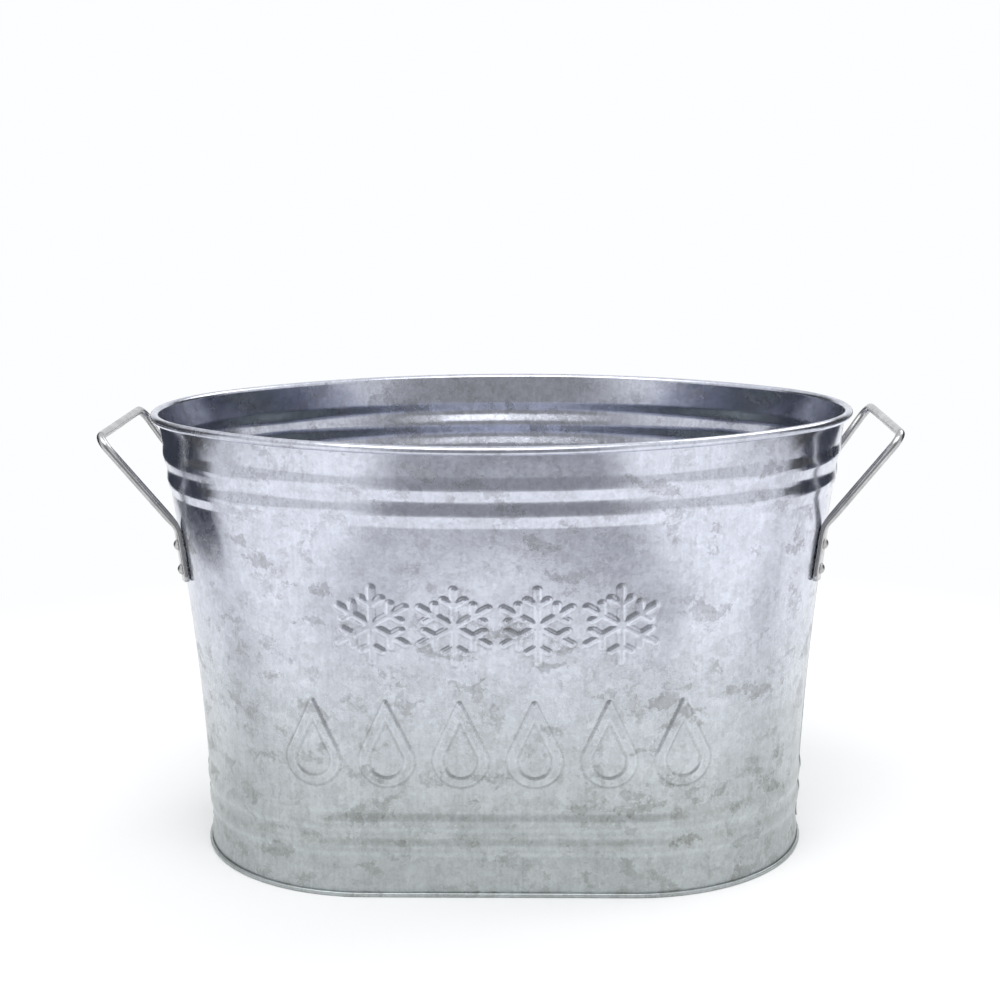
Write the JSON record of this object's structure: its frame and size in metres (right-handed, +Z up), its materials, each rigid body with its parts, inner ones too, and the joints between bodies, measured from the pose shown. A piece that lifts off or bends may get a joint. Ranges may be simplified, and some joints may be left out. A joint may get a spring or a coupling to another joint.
{
  "type": "ice bucket",
  "caption": "Oval galvanized steel ice bucket with flared ribbed walls, embossed ornaments, a rolled wired rim and fixed riveted rod handles, for chilling bottles on a bar",
  "frame": {"origin": "centre of the footprint, on the ground", "axes": "+Z up, X along the long axis through both handles, the embossed face looks towards -Y"},
  "size_m": [0.4388, 0.271, 0.25],
  "materials": {
    "galvanized_sheet": "hot-dip galvanized with a visible spangle, satin",
    "plated_rod": "zinc plated, satin to bright",
    "rivet_steel": "zinc plated, slightly dull",
    "sealant": "matt grey sealing compound",
    "solder": "dull tinned line"
  },
  "bodies": {
    "root": {"front_wall": "galvanized_sheet", "back_wall": "galvanized_sheet", "base_pan": "galvanized_sheet", "rim_wire": "plated_rod", "left_handle": "plated_rod", "right_handle": "plated_rod", "left_handle_rivets": "rivet_steel", "right_handle_rivets": "rivet_steel", "base_sealant": "sealant", "side_seam_solder": "solder"}
  },
  "joints": []
}
